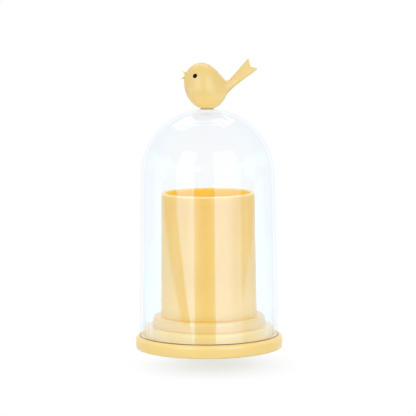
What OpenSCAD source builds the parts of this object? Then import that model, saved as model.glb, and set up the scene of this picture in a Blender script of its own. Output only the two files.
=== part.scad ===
// Covered holder for cotton swabs: a stepped base, a tapered cup, a clear
// bell-shaped dome and a bird-shaped lifting handle made of two half shells.
// Millimetres. The base rests on z = 0, the dome lifts along +Z and the bird
// looks towards -X.

/* [Swab cup] */
// Bore of the cup at its mouth
cup_bore_d = 46; // [38:0.5:60]
// Wall of the cup at its mouth
cup_wall = 2.5; // [1.6:0.1:3.5]
// Height of the cup above the base
cup_h = 67.4; // [45:0.2:85]
// Draft of the cup's outside, wider at the foot, in degrees
cup_draft = 0.7; // [0.2:0.1:1.2]
// Draft of the cup's bore, narrower at the floor, in degrees
bore_draft = 0.5; // [0.2:0.1:1]
// Thickness of the cup's floor
cup_floor = 2.4; // [1.6:0.1:4]
// Rounding of both edges of the cup's rim
rim_round = 0.8; // [0.2:0.1:1.2]
// Rounding of the outer edge of the cup's foot
foot_round = 0.4; // [0.2:0.05:0.6]
// Rounding between the bore and the floor of the cup
floor_round = 3; // [1:0.2:5]

/* [Base] */
// Height of the plate that the dome stands on
plate_h = 7; // [5:0.2:12]
// Height of each of the two tiers above the plate
tier_h = 5.4; // [4.4:0.2:9]
// Ledge of the upper tier around the cup
upper_ledge = 4.4; // [3:0.1:8]
// Ledge of the middle tier around the upper tier
middle_ledge = 4.4; // [3:0.1:8]
// Ledge of the plate outside the dome
plate_ledge = 2; // [1:0.1:8]
// Rounding of the plate's upper edge
plate_round = 1.9; // [0.5:0.1:2.4]
// Rounding of the plate's lower edge
plate_under = 0.8; // [0.3:0.1:1.2]
// Rounding of the upper edge of each tier
tier_round = 1.7; // [0.5:0.1:2.4]
// Wall of the base, which is hollow underneath
base_wall = 2.2; // [1.6:0.1:3]

/* [Cup seat] */
// Depth of the recess in the base that takes the cup's plug
seat_depth = 3; // [1.5:0.1:3.4]
// Width of the cup's shoulder, which rests on the base around the plug
shoulder_w = 2; // [1:0.1:3]
// Side clearance of the plug in the recess
plug_gap = 0.15; // [0.05:0.05:0.4]
// Clearance under the plug
plug_relief = 0.3; // [0.1:0.05:0.6]
// Bevel on the lower edge of the plug
plug_bevel = 0.6; // [0.2:0.1:1]

/* [Dome] */
// Clearance between the middle tier and the inside of the dome's rim
dome_gap = 0.9; // [0.4:0.1:2]
// Wall of the dome
dome_wall = 2; // [1.4:0.1:3]
// Height of the start of the dome's crown above the cup's mouth
headroom = 9.2; // [6:0.2:30]
// Draft of the dome's straight wall, in degrees
dome_draft = 1; // [0.2:0.1:1.4]
// Diameter of the flat on top of the crown
crown_flat_d = 9.5; // [9:0.5:14]
// Rounding of the two edges of the dome's rim
dome_rim_round = 0.5; // [0.2:0.05:0.65]

/* [Bird fixing] */
// Diameter of the bird's neck, which stands on the flat of the crown
neck_d = 7.2; // [6.6:0.1:8]
// Height of the neck
neck_h = 0.6; // [0.4:0.1:2]
// Diameter of the dome's spigot inside the bird
spigot_d = 4.8; // [3.6:0.1:5.2]
// Height of the spigot above the crown
spigot_h = 7.6; // [4:0.1:8]
// Radial clearance between the spigot and its bore
spigot_gap = 0.05; // [0.02:0.01:0.1]
// Wall of the spigot's bore inside the bird
socket_wall = 1.9; // [1.2:0.1:2.2]
// Diameter of the locating pins between the half shells
pin_d = 1.8; // [1.2:0.1:2]
// Length of the locating pins
pin_len = 3; // [2:0.1:4]
// Radial clearance of a pin in its hole
pin_gap = 0.05; // [0.02:0.01:0.1]
// Wall around a locating pin's hole
pin_wall = 1.1; // [0.8:0.1:1.3]

/* [Bird form] */
// Height of the crown of the head above the neck
bird_h = 24.5; // [22:0.1:28]
// Width of the body across both half shells
bird_w = 20.8; // [18:0.2:24]
// Reach of the breast in front of the neck
breast_x = 12.4; // [11:0.05:15]
// Height of the foremost point of the breast above the neck
face_z = 13.9; // [11:0.1:16]
// Reach of the rump behind the neck, where the tail starts
rump_x = 10.5; // [9:0.1:12]
// Thickness of the rump where the tail starts
rump_t = 6.8; // [6:0.1:8]
// Wall of the half shells
shell_wall = 1.8; // [1.4:0.1:2.4]
// Tail angle above the horizontal, in degrees
tail_angle = 42.5; // [36:0.5:50]
// Length of the tail
tail_len = 15.6; // [10:0.1:22]
// Width of the tail at its root
tail_root_w = 4.45; // [4:0.05:6]
// Width of the tail at its end
tail_end_w = 7.8; // [6:0.1:11]
// Thickness of the tail at its root
tail_root_t = 4.6; // [3.6:0.1:5.4]
// Thickness of the tail at its end
tail_end_t = 2.6; // [1.8:0.1:3.4]
// Depth of the notch in the tail's end
notch_depth = 2.2; // [1:0.1:3.5]

/* [Eyes] */
// Diameter of an eye bead
eye_d = 2.6; // [1.8:0.1:3.2]
// Height of an eye bead above its seat
eye_h = 1; // [0.5:0.1:1.2]
// Depth of the flat seat under an eye bead
eye_seat = 0.2; // [0.15:0.05:0.3]
// Diameter of the eye's peg
eye_peg_d = 1.2; // [0.8:0.1:1.4]
// Length of the eye's peg
eye_peg_len = 2.2; // [1.2:0.1:2.6]
// Radial clearance of the peg and of the bead in the half shell
eye_gap = 0.05; // [0.02:0.01:0.1]

/* [Hidden] */

// Facets round a large and a small turned piece
round_fn = 160;
small_fn = 48;
// Overlap that carries a cut past a face
cut = 1;

// The cup sets the tiers, the tiers set the dome and the dome sets the plate
mouth_r = cup_bore_d / 2 + cup_wall;
foot_r = mouth_r + cup_h * tan(cup_draft);
plug_r = foot_r - shoulder_w;
upper_r = foot_r + upper_ledge;
middle_r = upper_r + middle_ledge;
dome_in_r = middle_r + dome_gap;
dome_out_r = dome_in_r + dome_wall;
plate_r = dome_out_r + plate_ledge;

middle_top = plate_h + tier_h;
base_top = middle_top + tier_h;
cup_top = base_top + cup_h;
plug_bottom = base_top - seat_depth + plug_relief;
floor_top = plug_bottom + cup_floor;
bore_floor_r = cup_bore_d / 2 - (cup_top - floor_top) * tan(bore_draft);

// The crown of the dome is a part of a sphere on top of the drafted wall
spring_z = cup_top + headroom;
dome_straight_h = spring_z - plate_h;
crown_r = dome_out_r - dome_straight_h * tan(dome_draft);
crown_z = spring_z + sqrt(pow(crown_r, 2) - pow(crown_flat_d / 2, 2));
neck_z = crown_z + neck_h;

// A tier or plate in half section, with its upper edge rounded
module tier_section(r, z0, z1, edge) {
    translate([0, z0]) square([r - edge, z1 - z0]);
    translate([0, z0]) square([r, z1 - z0 - edge]);
    translate([r - edge, z1 - edge]) circle(edge, $fn = small_fn);
}

// The corner that a rounding takes off, at an outer edge at the top right
module corner(edge) {
    difference() {
        translate([-edge, -edge]) square(edge + cut);
        translate([-edge, -edge]) circle(edge, $fn = small_fn);
    }
}

module base() {
    color([0.95, 0.79, 0.45])
    rotate_extrude($fn = round_fn)
    difference() {
        union() {
            tier_section(plate_r, 0, plate_h, plate_round);
            tier_section(middle_r, plate_h / 2, middle_top, tier_round);
            tier_section(upper_r, middle_top - tier_h / 2, base_top, tier_round);
        }
        translate([plate_r, 0]) mirror([0, 1]) corner(plate_under);
        // Recess for the cup's plug
        translate([0, base_top - seat_depth])
            square([plug_r + plug_gap, seat_depth + cut]);
        // Hollow underside, stepped like the outside
        translate([0, -cut])
            square([plate_r - base_wall, plate_h - base_wall + cut]);
        square([middle_r - base_wall, middle_top - base_wall]);
        square([upper_r - base_wall, base_top - seat_depth - base_wall]);
    }
}

module swab_cup() {
    color([0.96, 0.80, 0.46])
    rotate_extrude($fn = round_fn)
    difference() {
        polygon([
            [0, plug_bottom],
            [plug_r - plug_bevel, plug_bottom],
            [plug_r, plug_bottom + plug_bevel],
            [plug_r, base_top],
            [foot_r, base_top],
            [mouth_r, cup_top],
            [0, cup_top]
        ]);
        // Bore, rounded into the floor
        difference() {
            polygon([
                [0, floor_top],
                [bore_floor_r, floor_top],
                [cup_bore_d / 2, cup_top],
                [cup_bore_d / 2, cup_top + cut],
                [0, cup_top + cut]
            ]);
            translate([bore_floor_r, floor_top]) mirror([0, 1]) corner(floor_round);
        }
        // Rounded rim and foot
        translate([mouth_r, cup_top]) corner(rim_round);
        translate([cup_bore_d / 2, cup_top]) mirror([1, 0]) corner(rim_round);
        translate([foot_r, base_top]) mirror([0, 1]) corner(foot_round);
    }
}

// The dome's inside or outside in half section, with its wall on radius r at the rim
module bell_section(r, below) {
    top_r = r - dome_straight_h * tan(dome_draft);
    translate([0, spring_z]) intersection() {
        circle(top_r, $fn = round_fn);
        square(top_r + cut);
    }
    polygon([
        [0, plate_h - below],
        [r, plate_h - below],
        [r, plate_h],
        [top_r, spring_z],
        [0, spring_z]
    ]);
}

module dome_cover() {
    color([0.90, 0.95, 1.00, 0.30]) {
        rotate_extrude($fn = round_fn)
        difference() {
            bell_section(dome_out_r, 0);
            bell_section(dome_in_r, cut);
            translate([0, crown_z]) square([crown_r, crown_r]);
            translate([dome_out_r, plate_h]) mirror([0, 1]) corner(dome_rim_round);
            translate([dome_in_r, plate_h]) mirror([1, 1]) corner(dome_rim_round);
        }
        translate([0, 0, crown_z - dome_wall / 2])
            cylinder(d = spigot_d, h = spigot_h + dome_wall / 2, $fn = small_fn);
    }
}

// The bird is a loft between two rails in the plane y = 0, one over its back
// and one under its belly, each a chain of four cubic curves that start at the
// breast and end at a tip of the tail. A width curve gives each section its
// depth. Rails are [x, z] from the middle of the body's flat underside.

// Handle length that turns a cubic curve into a quarter of a circle
quarter = 0.5523;
// Depth that the flat underside takes off the belly
belly_dip = 0.85;
// Crown of the head, behind the foremost point
crown_at = [-2.9, bird_h];
// Hollow between the back and the tail, and flank under the tail
valley_at = [rump_x, 0.598 * bird_h];
flank_at = [rump_x, 0.269 * bird_h];
// Start of the tail on its middle line
tail_at = valley_at + [3.05, -1.41];
// Share of the tail that blends into the body
tail_blend = 0.12;

tail_dir = [cos(tail_angle), sin(tail_angle)];
tail_up = [-sin(tail_angle), cos(tail_angle)];
face_at = [-breast_x, face_z];
belly_at = [0, -belly_dip];

function tail_edge(s, side) = tail_at + s * tail_len * tail_dir
    + side * (tail_root_w + s * (tail_end_w - tail_root_w)) / 2 * tail_up;
function along(p, q, s) = p + (q - p) * s;
function straight(p, q) = [p, along(p, q, 1 / 3), along(p, q, 2 / 3), q];
function cubic(c, t) = pow(1 - t, 3) * c[0] + 3 * t * pow(1 - t, 2) * c[1]
    + 3 * t * t * (1 - t) * c[2] + pow(t, 3) * c[3];

back_rail = [
    [face_at, face_at + [0, quarter * (bird_h - face_z)],
     crown_at - [quarter * (crown_at[0] + breast_x), 0], crown_at],
    [crown_at, crown_at + [6.8, 0], valley_at + [-2, 0.9], valley_at],
    [valley_at, valley_at + [0.7, -0.2], tail_edge(0.04, 1), tail_edge(tail_blend, 1)],
    straight(tail_edge(tail_blend, 1), tail_edge(1, 1))
];
belly_rail = [
    [face_at, face_at - [0, quarter * (face_z + belly_dip)],
     belly_at - [quarter * breast_x, 0], belly_at],
    [belly_at, belly_at + [6.6, 0], flank_at - [1, 2.4], flank_at],
    [flank_at, flank_at + [0.6, 1.4], tail_edge(-0.02, -1), tail_edge(tail_blend, -1)],
    straight(tail_edge(tail_blend, -1), tail_edge(1, -1))
];
half_w = bird_w / 2;
width_rail = [
    [0, quarter * half_w, half_w, half_w],
    [half_w, half_w, rump_t / 2 + 1, rump_t / 2],
    straight(rump_t / 2, tail_root_t / 2),
    straight(tail_root_t / 2, tail_end_t / 2)
];
// Squareness of the sections, from round at the body to flat-sided at the tail
square_rail = [straight(2, 2), straight(2, 2.2), straight(2.2, 2.8), straight(2.8, 3.6)];

function power(v, n) = sign(v) * pow(abs(v), 2 / n);
// Point of the skin in the bird's own axes, at angle a from the back
function skin(seg, t, a) =
    let (b = cubic(back_rail[seg], t), u = cubic(belly_rail[seg], t),
         w = cubic(width_rail[seg], t), n = cubic(square_rail[seg], t),
         m = (b + u) / 2 + (b - u) / 2 * power(cos(a), n))
    [m[0], w * power(sin(a), n), m[1]];

// Closed loft through sections given as [segment, t], between the breast and the last section
module loft(sections, around) {
    count = len(sections);
    last = sections[count - 1];
    end_mid = (skin(last[0], last[1], 0) + skin(last[0], last[1], 180)) / 2;
    points = [
        [face_at[0], 0, face_at[1]],
        for (s = sections, k = [0 : around - 1]) skin(s[0], s[1], 360 * k / around),
        end_mid
    ];
    end = len(points) - 1;
    function at(i, k) = 1 + i * around + k % around;
    faces = [
        for (k = [0 : around - 1]) [0, at(0, k + 1), at(0, k)],
        for (i = [0 : count - 2], k = [0 : around - 1]) each [
            [at(i, k), at(i + 1, k + 1), at(i + 1, k)],
            [at(i, k), at(i, k + 1), at(i + 1, k + 1)]
        ],
        for (k = [0 : around - 1]) [end, at(count - 1, k), at(count - 1, k + 1)]
    ];
    polyhedron(points, faces, convexity = 6);
}

body_steps = 13;
root_steps = 6;
tail_steps = 3;
skin_sections = [
    for (i = [1 : body_steps]) [0, i / body_steps],
    for (i = [1 : body_steps]) [1, i / body_steps],
    for (i = [1 : root_steps]) [2, i / root_steps],
    for (i = [1 : tail_steps]) [3, i / tail_steps]
];
// The hollow ends in the rump, ahead of the tail
hollow_steps = 7;
hollow_end = 0.8;
hollow_sections = [
    for (i = [1 : hollow_steps]) [0, i / hollow_steps],
    for (i = [1 : hollow_steps]) [1, hollow_end * i / hollow_steps]
];
skin_around = 36;
hollow_around = 20;

// Middle of the body, about which the hollow is a smaller copy of the skin
body_mid = [(crown_at[0] + belly_at[0]) / 2, 0, (bird_h - belly_dip) / 2];
hollow_scale = 1 - shell_wall / half_w;

// Beak: two short cones that gape, each [root, tip] from the corner of the mouth
mouth_at = cubic(back_rail[0], 0.21);
beak_up = [mouth_at + [1.5, 0.6], mouth_at + [-1.15, 2.5]];
beak_low = [mouth_at + [0.9, -0.6], mouth_at + [-2.1, -1.5]];
beak_d = 3;
beak_tip_d = 0.4;

module mandible(ends) {
    reach = ends[1] - ends[0];
    translate([ends[0][0], 0, ends[0][1]])
        rotate([0, atan2(reach[0], reach[1]), 0])
            cylinder(d1 = beak_d, d2 = beak_tip_d, h = norm(reach), $fn = small_fn);
}

// Places of the locating pins, in the head and in the rump
pin_places = [crown_at + [1.1, -5.9], valley_at + [-5, -1.7]];

module at_pins() {
    for (p = pin_places) translate([p[0], 0, p[1]]) rotate([90, 0, 0]) children();
}

// Deepest place of the tail's notch, as a share from the lower to the upper tip
notch_at = 0.45;

// Outside of the whole bird, with its flat underside, round neck and notched tail
module bird_outside() {
    translate([0, 0, -neck_h]) cylinder(d = neck_d, h = neck_h + belly_dip, $fn = small_fn);
    difference() {
        union() {
            loft(skin_sections, skin_around);
            mandible(beak_up);
            mandible(beak_low);
        }
        translate([-half_w, -half_w, -2 * belly_dip])
            cube([bird_w, bird_w, 2 * belly_dip]);
        rotate([90, 0, 0])
            linear_extrude(height = bird_w, center = true)
                polygon([
                    tail_edge(1, 1) + tail_dir,
                    tail_edge(1, 1) + 0.1 * tail_dir,
                    along(tail_edge(1, -1), tail_edge(1, 1), notch_at) - notch_depth * tail_dir,
                    tail_edge(1, -1) + 0.1 * tail_dir,
                    tail_edge(1, -1) + tail_dir
                ]);
    }
}

// Hollow of the bird, which leaves a socket for the spigot and posts for the pins
module bird_hollow() {
    difference() {
        translate(body_mid) scale(hollow_scale) translate(-body_mid)
            loft(hollow_sections, hollow_around);
        translate([0, 0, -neck_h])
            cylinder(d = spigot_d + 2 * spigot_gap + 2 * socket_wall,
                     h = spigot_h + socket_wall, $fn = small_fn);
        at_pins() cylinder(d = pin_d + 2 * pin_gap + 2 * pin_wall, h = bird_w,
                           center = true, $fn = small_fn);
    }
}

// Place of an eye on the skin: segment, t and angle from the back
eye_seg = 0;
eye_t = 0.735;
eye_angle = 59;
nudge = 0.01;
// Axes of the left eye: its middle, and the outward direction there
eye_at = skin(eye_seg, eye_t, -eye_angle);
eye_out = cross(skin(eye_seg, eye_t, -eye_angle - nudge) - eye_at,
                skin(eye_seg, eye_t + nudge, -eye_angle) - eye_at);

// Puts a child drawn along +Z on the eye's place, side -1 for left and 1 for right
module at_eye(side) {
    dir = eye_out / norm(eye_out);
    mirror([0, side > 0 ? 1 : 0, 0])
        translate(eye_at) rotate([0, acos(dir[2]), atan2(dir[1], dir[0])]) children();
}

module eye_seat_cut() {
    translate([0, 0, -eye_seat]) cylinder(d = eye_d + 2 * eye_gap, h = eye_h + cut, $fn = small_fn);
    translate([0, 0, -eye_seat - eye_peg_len - eye_gap])
        cylinder(d = eye_peg_d + 2 * eye_gap, h = eye_peg_len + cut, $fn = small_fn);
}

// One half shell, side -1 for left and 1 for right, closed on the plane y = 0
module half_shell(side) {
    translate([0, 0, neck_z]) {
        difference() {
            intersection() {
                bird_outside();
                translate([-2 * bird_w, side < 0 ? -bird_w : 0, -bird_w])
                    cube([5 * bird_w, bird_w, 4 * bird_w]);
            }
            bird_hollow();
            translate([0, 0, -neck_h - cut])
                cylinder(d = spigot_d + 2 * spigot_gap, h = spigot_h + spigot_gap + cut,
                         $fn = small_fn);
            at_eye(side) eye_seat_cut();
            if (side > 0)
                at_pins() cylinder(d = pin_d + 2 * pin_gap,
                                   h = 2 * (pin_len + pin_gap), center = true, $fn = small_fn);
        }
        if (side < 0)
            at_pins() translate([0, 0, -pin_len])
                cylinder(d = pin_d, h = 2 * pin_len, $fn = small_fn);
    }
}

module bird_left_half() {
    color([0.94, 0.81, 0.50]) half_shell(-1);
}

module bird_right_half() {
    color([0.94, 0.81, 0.50]) half_shell(1);
}

// Domed bead on a peg, with its seat a little below the skin
module eye(side) {
    bead_r = (pow(eye_d / 2, 2) + pow(eye_h, 2)) / (2 * eye_h);
    color([0.05, 0.05, 0.06])
    translate([0, 0, neck_z]) at_eye(side) translate([0, 0, -eye_seat]) {
        intersection() {
            translate([0, 0, eye_h - bead_r]) sphere(bead_r, $fn = small_fn);
            cylinder(d = eye_d, h = eye_h + cut, $fn = small_fn);
        }
        translate([0, 0, -eye_peg_len]) cylinder(d = eye_peg_d, h = eye_peg_len + eye_h / 2, $fn = small_fn);
    }
}

module eye_left() {
    eye(-1);
}

module eye_right() {
    eye(1);
}

base();
swab_cup();
dome_cover();
bird_left_half();
bird_right_half();
eye_left();
eye_right();
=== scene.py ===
import math
from collections import namedtuple

import bmesh
import bpy
from bpy.props import FloatProperty, FloatVectorProperty, PointerProperty
from mathutils import Matrix, Vector


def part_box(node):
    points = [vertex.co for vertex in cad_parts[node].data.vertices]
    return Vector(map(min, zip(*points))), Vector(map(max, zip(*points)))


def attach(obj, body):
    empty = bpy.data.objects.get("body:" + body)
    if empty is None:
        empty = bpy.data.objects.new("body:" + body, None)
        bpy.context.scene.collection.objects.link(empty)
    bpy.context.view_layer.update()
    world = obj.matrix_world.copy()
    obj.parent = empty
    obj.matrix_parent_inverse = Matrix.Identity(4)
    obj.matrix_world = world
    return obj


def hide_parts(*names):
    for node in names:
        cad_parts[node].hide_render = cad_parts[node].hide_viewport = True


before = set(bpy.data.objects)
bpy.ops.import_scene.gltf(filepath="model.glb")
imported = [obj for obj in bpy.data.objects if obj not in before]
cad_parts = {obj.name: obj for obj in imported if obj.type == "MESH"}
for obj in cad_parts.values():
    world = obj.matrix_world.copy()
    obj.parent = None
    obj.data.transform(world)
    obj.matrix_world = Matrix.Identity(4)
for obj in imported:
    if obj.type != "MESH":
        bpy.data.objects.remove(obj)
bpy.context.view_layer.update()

bl_info = {
    "name": "Covered Swab Holder",
    "version": (1, 0, 0),
    "blender": (4, 5, 0),
    "location": "View3D > Sidebar > Swab Holder",
    "description": "Builds a swab holder: stepped base, cup, clear dome and bird handle",
    "category": "Object",
}

MM = 0.001
WHITE = (1, 1, 1)
# Handle length that turns a cubic curve into a quarter of a circle
QUARTER = 0.5523
# Rounding of an edge that looks sharp
CRISP = 0.25 * MM
# Distance from a rounding to the point that keeps the shading of the flat beside it even
SUPPORT = 0.18 * MM
# Anything closer to the axis or to the bird's parting plane than this lies on it
TOUCH = 1e-7
# Place of the notch's deepest point across the tail, from -1 at its lower tip to 1 at its upper tip
NOTCH_AT = -0.1
# Start and tip of the upper and of the lower half of the beak, in millimetres from the mouth
BEAK_HALVES = (((1.5, 0.6), (-1.15, 2.5)), ((0.9, -0.6), (-2.1, -1.5)))
# Side of the parting plane on which the left and the right half of the bird lie
BIRD_SIDES = ((-1, "left"), (1, "right"))
# How a noise is drawn out: flow and scratches along the axis, soft smears, and wiping marks round it
FLOW = (1, 1, 0.22)
SCRATCH = (1, 1, 0.05)
SMEAR = (1, 1, 0.4)
WIPE = (0.04, 0.04, 1)
# Radius of the floor, and the ring where it ends for mirrored light
FLOOR_R = 150 * MM
MIRROR_CUT = (78 * MM, 84 * MM)
# Middle and reach of the soft patch in front of the base, where the floor is greyer with painted shadow and
# also takes real shadow
SHADOW_AT = (3 * MM, -60 * MM)
SHADOW_REACH = (50 * MM, 52.6316 * MM)
# Distance of the upright panels from the axis, and the heights of their level edges at both ends
PANEL_REACH = 0.95
AT_TOP = (0.98, 0.98)
AT_FOOT = (-0.30, -0.30)
# Corners of the panel overhead
TOP_PANEL = ((-0.62, 0.42, 1.17), (0.44, 0.33, 1.17), (0.44, 0.84, 0.85), (-0.62, 0.84, 0.85))
SENSOR_W = 36

# A tone that comes in between two heights
Band = namedtuple("Band", "start full tone")
# The inside of a hollow piece, up to a height, and the tone of the painted bounce light in it
Bore = namedtuple("Bore", "radius top tone")
# A painted glow that comes in between two heights and stops at a third
Seam = namedtuple("Seam", "start full end tone")


def length(name, text, millimetres):
    """A length property, given in millimetres."""
    return FloatProperty(name=name, description=text, default=millimetres * MM, unit="LENGTH", precision=5)


def angle(name, text, degrees):
    """An angle property, given in degrees."""
    return FloatProperty(name=name, description=text, default=math.radians(degrees), unit="ROTATION")


def share(name, text, default):
    """A plain number from 0 to 1."""
    return FloatProperty(name=name, description=text, default=default, min=0, max=1, subtype="FACTOR")


def brightness(name, text, default):
    """A brightness property, where 1 is white in the picture."""
    return FloatProperty(name=name, description=text, default=default, min=0)


def colour(name, text, default):
    """A colour property in scene linear values."""
    return FloatVectorProperty(
        name=name, description=text, default=default, size=3, min=0, max=1, subtype="COLOR"
    )


class HolderSizes(bpy.types.PropertyGroup):
    """Sizes of the turned pieces that the frame's boxes don't give."""

    tier_h: length("Tier height", "Height of each of the two tiers", 5.4)
    tier_ledge: length("Tier ledge", "Width of the ledge around the cup and around the upper tier", 4.4)
    tier_round: length("Tier rounding", "Rounding of the upper edge of each tier", 1.7)
    plate_round: length("Plate rounding", "Rounding of the plate's upper edge", 1.9)
    plate_under: length("Plate lower edge", "Rounding of the plate's lower edge", 0.8)
    base_wall: length("Base wall", "Wall of the hollow base", 2.2)
    seat_depth: length("Seat depth", "Depth of the recess for the cup", 3.0)
    shoulder_w: length("Shoulder", "Width of the cup's shoulder on the base", 2.0)
    shoulder_round: length("Shoulder corner", "Rounding between shoulder and plug", 0.2)
    plug_gap: length("Plug clearance", "Side clearance of the cup's plug", 0.15)
    plug_round: length("Plug rounding", "Rounding of the plug's lower edge", 0.6)
    cup_floor: length("Cup floor", "Thickness of the cup's floor", 2.4)
    cup_wall: length("Cup wall", "Wall of the cup at its mouth", 2.5)
    cup_draft: angle("Cup draft", "Draft of the cup's outside", 0.7)
    bore_draft: angle("Bore draft", "Draft of the cup's bore", 0.5)
    rim_round: length("Rim rounding", "Rounding of the cup's rim", 0.8)
    foot_round: length("Foot rounding", "Rounding of the outer edge of the cup's foot", 0.4)
    floor_round: length("Floor rounding", "Rounding between bore and floor", 3.0)
    dome_wall: length("Dome wall", "Wall of the clear dome", 2.0)
    dome_draft: angle("Dome draft", "Draft of the dome's straight wall", 1.0)
    headroom: length("Headroom", "Start of the crown above the cup's mouth", 9.2)
    dome_rim_round: length("Dome rim rounding", "Rounding of the two edges of the dome's rim", 0.5)
    spigot_r: length("Spigot radius", "Radius of the spigot inside the bird", 2.4)
    spigot_round: length("Spigot rounding", "Rounding of the spigot's upper edge", 0.3)
    spigot_foot: length("Spigot foot", "Rounding between spigot and crown", 0.1)


class BirdSizes(bpy.types.PropertyGroup):
    """Sizes of the bird, from the middle of its flat underside."""

    neck_r: length("Neck radius", "Radius of the round neck on the dome's crown", 3.6)
    neck_h: length("Neck height", "Height of the neck", 0.6)
    neck_flare: length("Neck flare", "Widening of the neck where it meets the body", 0.35)
    height: length("Bird height", "Crown of the head above the neck", 24.5)
    crown_x: length("Crown place", "Crown of the head in front of the neck", 2.9)
    half_w: length("Half width", "Half of the body's width", 10.4)
    breast_x: length("Breast reach", "Reach of the breast in front of the neck", 12.4)
    face_z: length("Breast height", "Height of the foremost point of the breast above the neck", 13.9)
    belly_dip: length("Belly dip", "Depth of the belly's curve below the flat underside", 0.85)
    rump_x: length("Rump reach", "Reach of the rump behind the neck", 10.5)
    rump_top: share("Rump top", "Upper edge of the rump, as a share of the bird's height", 0.598)
    rump_low: share("Rump underside", "Lower edge of the rump, as a share of the bird's height", 0.269)
    rump_t: length("Rump thickness", "Thickness of the rump where the tail starts", 6.8)
    tail_x: length("Tail place", "Middle of the tail's root behind the rump", 3.05)
    tail_drop: length("Tail drop", "Middle of the tail's root below the rump's upper edge", 1.41)
    tail_angle: angle("Tail angle", "Rise of the tail", 42.5)
    tail_len: length("Tail length", "Length of the tail", 15.6)
    tail_root_w: length("Tail root width", "Width of the tail at its root", 4.45)
    tail_end_w: length("Tail end width", "Width of the tail at its end", 7.8)
    tail_root_t: length("Tail root thickness", "Thickness of the tail at its root", 4.6)
    tail_end_t: length("Tail end thickness", "Thickness of the tail at its end", 2.6)
    tail_round: length("Tail rounding", "Rounding of the edge of the tail's end", 0.5)
    notch: length("Tail notch", "Depth of the notch in the tail's end", 2.2)
    mouth_at: share("Mouth place", "Place of the mouth on the way from the breast to the crown", 0.21)
    beak_r: length("Beak radius", "Radius of each half of the beak at its root", 1.5)
    beak_tip_r: length("Beak tip radius", "Radius of each half of the beak near its tip", 0.2)
    eye_at: share("Eye place", "Place of the eyes on the way from the breast to the crown", 0.735)
    eye_turn: angle("Eye turn", "Place of the eyes round the head, from its upper line", 59.0)
    eye_r: length("Eye radius", "Radius of an eye bead", 1.3)
    eye_h: length("Eye height", "Height of an eye bead above its seat", 1.0)
    eye_seat: length("Eye seat", "Depth of the eye's seat below the skin", 0.2)
    peg_r: length("Peg radius", "Radius of the peg that holds an eye", 0.6)
    peg_len: length("Peg length", "Length of the peg that holds an eye", 2.2)
    peg_round: length("Peg rounding", "Rounding of the peg's end", 0.15)
    peg_foot: length("Peg foot", "Rounding between peg and bead", 0.05)


class HolderColours(bpy.types.PropertyGroup):
    """Colours and gloss of the finishes."""

    cup: colour("Cup", "Warm yellow of the cup", (0.826, 0.579, 0.160))
    # Painted bounce light: deep yellow that glows inside the cup and tints its foot
    cup_bounce_light: colour("Cup inside", "Deep yellow where light bounces inside the cup", (1.000, 0.555, 0.035))
    # Painted shade: the cup darkens towards its rim
    cup_top: colour("Cup top", "Deeper yellow towards the cup's rim", (0.765, 0.515, 0.150))
    # Painted highlight: paler yellow on the cup's rounded rim
    cup_rim_highlight: colour("Cup rim", "Paler yellow of the cup's rounded rim", (0.840, 0.585, 0.280))
    cup_foot: colour("Cup foot", "Lighter yellow of the cup's foot, lit by the base", (1.000, 0.692, 0.228))
    base: colour("Base", "Warm yellow of the base", (0.910, 0.662, 0.250))
    middle: colour("Middle tier", "Yellow of the middle tier", (0.922, 0.648, 0.214))
    tier: colour("Upper tier", "Deeper yellow of the upper tier", (0.870, 0.590, 0.185))
    bird: colour("Bird", "Warm yellow of the bird", (0.772, 0.579, 0.216))
    # Painted light: a lighter, warmer tone under the bird
    bird_underside_light: colour("Underside", "Warmer tone under the bird", (0.925, 0.690, 0.262))
    # Painted shade: brownish tone on the neck under the bird
    bird_neck_shade: colour("Neck", "Brownish tone of the neck on the dome", (0.480, 0.310, 0.130))
    eye: colour("Eye", "Black of the eye beads", (0.003, 0.0026, 0.002))
    dome: colour("Dome", "Faint blue tint of the clear dome", (0.965, 0.984, 1.000))
    dome_edge: colour("Dome edge", "Blue tint where one looks along the dome's wall", (0.912, 0.946, 0.978))
    # Painted shade: dark violet line along the outside of the dome's rim
    dome_rim_shade: colour("Dome rim", "Dull violet tint of the dome's rim", (0.006, 0.003, 0.360))
    cup_glow: share("Cup glow", "Share of light that soaks into the cup's plastic", 1.0)
    base_glow: share("Base glow", "Share of light that soaks into the base's plastic", 0.3)
    bird_glow: share("Bird glow", "Share of light that soaks into the bird's plastic", 0.25)
    cup_gloss: share("Cup roughness", "Roughness of the cup and base", 0.22)
    bird_gloss: share("Bird roughness", "Roughness of the satin bird", 0.33)
    cup_sheen: share("Cup sheen", "Strength of the cup's gloss", 0.15)
    base_sheen: share("Base sheen", "Strength of the base's gloss", 0.32)
    bird_sheen: share("Bird sheen", "Strength of the bird's gloss", 0.22)


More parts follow.
